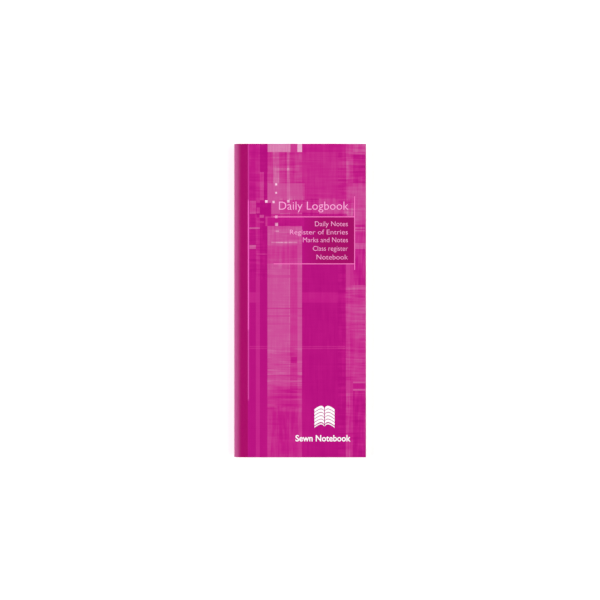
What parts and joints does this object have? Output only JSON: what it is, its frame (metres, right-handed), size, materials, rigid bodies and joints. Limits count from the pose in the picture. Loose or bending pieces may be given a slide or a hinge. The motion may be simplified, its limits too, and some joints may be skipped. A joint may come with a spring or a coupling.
{
  "type": "notebook",
  "caption": "Slim tall logbook: sewn ruled pages between flush printed card covers, with a cloth tape round the rounded spine.",
  "frame": {"origin": "centre of the book's bounding box in width and height, on the outside of the back cover", "axes": "+X towards the fore edge, +Y towards the head, +Z out through the front cover"},
  "size_m": [0.125, 0.297, 0.0116],
  "materials": {
    "cover_print": "gloss",
    "spine_cloth": "matte",
    "lining_cloth": "matte",
    "glue": "satin",
    "endpaper": "matte",
    "page_paper": "matte",
    "thread": "matte"
  },
  "bodies": {
    "spine_block": {"spine_tape_middle": "spine_cloth", "spine_lining": "lining_cloth", "spine_glue": "glue", "back_flyleaf": "endpaper", "gathering_1": "page_paper", "gathering_2_fold": "page_paper", "gathering_3_fold": "page_paper", "gathering_4_fold": "page_paper", "gathering_5_fold": "page_paper", "gathering_6_fold": "page_paper", "sewing_thread_1": "thread", "sewing_thread_2": "thread", "sewing_thread_3": "thread", "sewing_thread_4": "thread", "sewing_thread_5": "thread", "sewing_thread_6": "thread", "kettle_stitch_tail": "thread", "kettle_stitch_head": "thread"},
    "front_cover": {"front_cover_card": "cover_print", "spine_tape_front_wing": "spine_cloth", "front_pastedown": "endpaper"},
    "back_cover": {"back_cover_card": "cover_print", "spine_tape_back_wing": "spine_cloth", "back_pastedown": "endpaper"},
    "flyleaf": {"front_flyleaf": "endpaper"},
    "leaves_6": {"gathering_6_leaves": "page_paper"},
    "leaves_5": {"gathering_5_leaves": "page_paper"},
    "leaves_4": {"gathering_4_leaves": "page_paper"},
    "leaves_3": {"gathering_3_leaves": "page_paper"},
    "leaves_2": {"gathering_2_leaves": "page_paper"}
  },
  "joints": [
    {"name": "front_cover_hinge", "type": "hinge", "parent": "spine_block", "child": "front_cover", "pos_m": [-0.0569, 0, 0.01178], "axis": [0, -1, 0], "range_deg": [0, 178]},
    {"name": "back_cover_hinge", "type": "hinge", "parent": "spine_block", "child": "back_cover", "pos_m": [-0.0569, 0, -0.00015], "axis": [0, 1, 0], "range_deg": [0, 178]},
    {"name": "flyleaf_turn", "type": "hinge", "parent": "spine_block", "child": "flyleaf", "pos_m": [-0.0569, 0, 0.01178], "axis": [0, -1, 0], "range_deg": [0, 177]},
    {"name": "leaves_6_turn", "type": "hinge", "parent": "spine_block", "child": "leaves_6", "pos_m": [-0.0569, 0, 0.01178], "axis": [0, -1, 0], "range_deg": [0, 176]},
    {"name": "leaves_5_turn", "type": "hinge", "parent": "spine_block", "child": "leaves_5", "pos_m": [-0.0569, 0, 0.01178], "axis": [0, -1, 0], "range_deg": [0, 174]},
    {"name": "leaves_4_turn", "type": "hinge", "parent": "spine_block", "child": "leaves_4", "pos_m": [-0.0569, 0, 0.01178], "axis": [0, -1, 0], "range_deg": [0, 173]},
    {"name": "leaves_3_turn", "type": "hinge", "parent": "spine_block", "child": "leaves_3", "pos_m": [-0.0569, 0, 0.01178], "axis": [0, -1, 0], "range_deg": [0, 6]},
    {"name": "leaves_2_turn", "type": "hinge", "parent": "spine_block", "child": "leaves_2", "pos_m": [-0.0569, 0, 0.01178], "axis": [0, -1, 0], "range_deg": [0, 3]}
  ],
  "couplings": [
    {"joint": "flyleaf_turn", "follows": "front_cover_hinge", "ratio": 0.994},
    {"joint": "leaves_6_turn", "follows": "front_cover_hinge", "ratio": 0.985},
    {"joint": "leaves_5_turn", "follows": "front_cover_hinge", "ratio": 0.976},
    {"joint": "leaves_4_turn", "follows": "front_cover_hinge", "ratio": 0.967},
    {"joint": "leaves_3_turn", "follows": "front_cover_hinge", "ratio": 0.03},
    {"joint": "leaves_2_turn", "follows": "front_cover_hinge", "ratio": 0.015}
  ]
}
